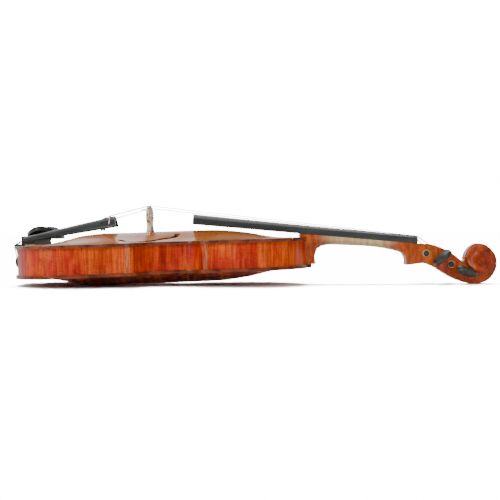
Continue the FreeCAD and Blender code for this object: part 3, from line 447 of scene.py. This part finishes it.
def scroll_eye(side):
    """Small turned boss at the centre of the spiral."""
    profile = [(EYE_RADIUS + 0.4, 19.0), (EYE_RADIUS, 22.2), (EYE_RADIUS - 0.35, 22.7)]
    profile += [(EYE_RADIUS - 0.9, 22.8), (EYE_RADIUS * 0.45, 22.5), (0.05, 22.35)]
    points = []
    for step in range(EYE_STEPS):
        turn = 2 * math.pi * step / EYE_STEPS
        for radius, width in profile:
            x = EYE_X + 0.6 + radius * math.cos(turn)
            points.append((x, side * width, EYE_Z + radius * math.sin(turn)))
    name = "scroll_eye_treble" if side < 0 else "scroll_eye_bass"
    mesh_piece(name, points, quads(EYE_STEPS, len(profile), True), NECK_WOOD)


RING_RADIUS = 3.35
RING_STEPS = 40


def peg_ring(name, x, z, half):
    """Pale worn ring of bare wood round the end of a peg where it comes through the cheek."""
    points = []
    profile = [(0.1, 0.0), (0.15, 0.28), (0.6, 0.34), (1.1, 0.22), (1.25, -0.1)]
    for step in range(RING_STEPS):
        turn = 2 * math.pi * step / RING_STEPS
        for width, lift in profile:
            reach = RING_RADIUS + width
            points.append((x + reach * math.cos(turn), -half - lift, z + reach * math.sin(turn)))
    mesh_piece(name, points, quads(RING_STEPS, len(profile), True), BARE_RING)


for bank in (-1, 1):
    volute(bank)
    scroll_eye(bank)
# body-frame x and z of the peg, and half the width of the pegbox there
peg_ring("g_peg_ring", 501.1, 10.3, 12.35)
peg_ring("d_peg_ring", 531.5, -3.9, 10.15)

# ---------------------------------------------------------------- softened edges

def soften(name, width):
    """Round the edges of a piece and shade it smoothly between them."""
    part = frame["nodes"][name]
    weld = part.modifiers.new("weld", "WELD")
    weld.merge_threshold = 0.00002
    edge = part.modifiers.new("rounding", "BEVEL")
    edge.width = width * MM
    edge.segments = 3
    edge.limit_method = "ANGLE"
    edge.angle_limit = math.radians(32)
    edge.harden_normals = True


# bevel width of each rounded piece, in mm
ROUNDING = {
    "top_plate": 1.2, "back_plate": 1.2, "neck": 0.6, "fingerboard": 0.7, "nut": 0.8, "saddle": 0.8,
    "tailpiece": 0.9, "chinrest": 1.4, "bridge": 0.25, "end_button": 0.4,
    "e_peg": 1.0, "a_peg": 1.0, "d_peg": 1.0, "g_peg": 1.0, "clamp_foot": 0.3, "tailpiece_fret": 0.3,
}
for rounded, amount in ROUNDING.items():
    soften(rounded, amount)

# ---------------------------------------------------------------- floor, light and camera

def camera_only(obj):
    """Keep a stage piece out of the light that reaches the violin."""
    obj.visible_diffuse = False
    obj.visible_glossy = False
    obj.visible_transmission = False


def floor():
    """Pale paper under the violin, seen by the camera and lit mostly by the floor wash."""
    mat, tree, shader = new_material("floor_paper")
    mottle = noise(tree, stretched(tree, (3, 3, 3)), 1.0, 2.0)
    paper = ramp(tree, mottle, [(0.3, (0.93, 0.93, 0.93)), (0.7, (0.96, 0.96, 0.96))])
    tree.links.new(paper, shader.inputs["Base Color"])
    shader.inputs["Roughness"].default_value = 0.9
    shader.inputs["Specular IOR Level"].default_value = 0.0
    bpy.ops.mesh.primitive_plane_add(size=60, location=(0, 0, 0))
    plane = bpy.context.object
    plane.name = "floor"
    plane.data.materials.append(mat)
    camera_only(plane)
    plane.visible_shadow = False
    return plane


BACKDROP_GLOW = 16.0


def backdrop():
    """White glowing dome all round, seen by the camera only."""
    mat = bpy.data.materials.new("backdrop_white")
    mat.use_nodes = True
    tree = mat.node_tree
    tree.nodes.clear()
    glow = tree.nodes.new("ShaderNodeEmission")
    glow.inputs["Strength"].default_value = BACKDROP_GLOW
    out = tree.nodes.new("ShaderNodeOutputMaterial")
    tree.links.new(glow.outputs["Emission"], out.inputs["Surface"])
    bpy.ops.mesh.primitive_uv_sphere_add(radius=28, location=(0, 0, 0))
    dome = bpy.context.object
    dome.name = "backdrop"
    dome.data.materials.append(mat)
    camera_only(dome)
    dome.visible_shadow = False


def area_light(name, location, aim, size, power, shine):
    """Soft rectangular lamp; shine is its share of the gloss."""
    data = bpy.data.lights.new(name, "AREA")
    data.shape = "RECTANGLE"
    data.size, data.size_y = size
    data.energy = power
    data.specular_factor = shine
    lamp = bpy.data.objects.new(name, data)
    lamp.location = location
    lamp.rotation_euler = (Vector(aim) - Vector(location)).to_track_quat("-Z", "Y").to_euler()
    bpy.context.collection.objects.link(lamp)


BOUNCE_Z = -0.0006
# power, spread and lean in degrees of the suns that light the floor
FLOOR_SUNS = ((48.0, 30, -19), (3.0, 100, -6))


def floor_wash(plane):
    """Broad overhead light for the floor alone; the violin casts its soft shadow in it."""
    bounce = plane.copy()
    bounce.data = plane.data.copy()
    bounce.name = "floor_bounce"
    bpy.context.collection.objects.link(bounce)
    bounce.visible_diffuse = True
    bounce.visible_glossy = True
    bounce.visible_camera = False
    bounce.visible_shadow = False
    bounce.location.z = BOUNCE_Z
    only_floor = bpy.data.collections.new("only_floor")
    only_floor.objects.link(plane)
    for index, (power, spread, lean) in enumerate(FLOOR_SUNS):
        data = bpy.data.lights.new("floor_wash_%d" % index, "SUN")
        data.energy = power
        data.angle = math.radians(spread)
        lamp = bpy.data.objects.new("floor_wash_%d" % index, data)
        lamp.rotation_euler = (math.radians(lean), math.radians(-6), 0)
        bpy.context.collection.objects.link(lamp)
        lamp.light_linking.receiver_collection = only_floor


def world():
    """Bright behind and above the violin, dim on the camera's side and below."""
    room = bpy.data.worlds.new("white_room")
    room.use_nodes = True
    bpy.context.scene.world = room
    tree = room.node_tree
    ground = tree.nodes["Background"]
    coords = tree.nodes.new("ShaderNodeTexCoord")
    split = tree.nodes.new("ShaderNodeSeparateXYZ")
    tree.links.new(coords.outputs["Generated"], split.inputs["Vector"])
    depth = node(tree, "ShaderNodeMapRange", From_Min=0.2, From_Max=0.95, To_Min=0.42, To_Max=2.1)
    tree.links.new(split.outputs["Y"], depth.inputs["Value"])
    height = node(tree, "ShaderNodeMapRange", From_Min=-0.04, From_Max=0.06, To_Min=0.06, To_Max=1.0)
    tree.links.new(split.outputs["Z"], height.inputs["Value"])
    product = node(tree, "ShaderNodeMath", operation="MULTIPLY")
    tree.links.new(depth.outputs["Result"], product.inputs[0])
    tree.links.new(height.outputs["Result"], product.inputs[1])
    tree.links.new(product.outputs["Value"], ground.inputs["Strength"])
    ground.inputs["Color"].default_value = (1, 1, 1, 1)


def light(plane):
    """Key lamp high on the camera's side, one lower at the tail and a small one at the head."""
    world()
    area_light("key", (-0.35, -1.15, 1.25), (0, 0, 0.02), (0.9, 0.5), 20, 0.6)
    area_light("side", (-1.3, -0.75, 0.45), (-0.15, 0, 0.03), (0.5, 0.7), 10, 0.1)
    area_light("head", (0.75, -1.1, 0.55), (0.25, 0, 0.02), (0.4, 0.5), 4, 0.1)
    floor_wash(plane)


CAMERA_TARGET = Vector((-0.00775, 0.0, 0.0422))
CAMERA_DISTANCE = 1.487
CAMERA_ANGLES = (-0.85, 0.9, -0.14)
FIELD_OF_VIEW = math.radians(23.36)


def camera():
    """Nearly level long lens from the treble side; its angles are yaw, rise and roll."""
    data = bpy.data.cameras.new("camera")
    data.sensor_width = 36.0
    data.lens = data.sensor_width / 2 / math.tan(FIELD_OF_VIEW / 2)
    cam = bpy.data.objects.new("camera", data)
    bpy.context.collection.objects.link(cam)
    yaw, rise, roll = (math.radians(angle) for angle in CAMERA_ANGLES)
    back = Vector((math.sin(yaw) * math.cos(rise), -math.cos(yaw) * math.cos(rise), math.sin(rise)))
    cam.location = CAMERA_TARGET + back * CAMERA_DISTANCE
    cam.rotation_mode = "QUATERNION"
    twist = Matrix.Rotation(roll, 4, "Z").to_quaternion()
    cam.rotation_quaternion = (-back).to_track_quat("-Z", "Y") @ twist
    bpy.context.scene.camera = cam


backdrop()
light(floor())
camera()
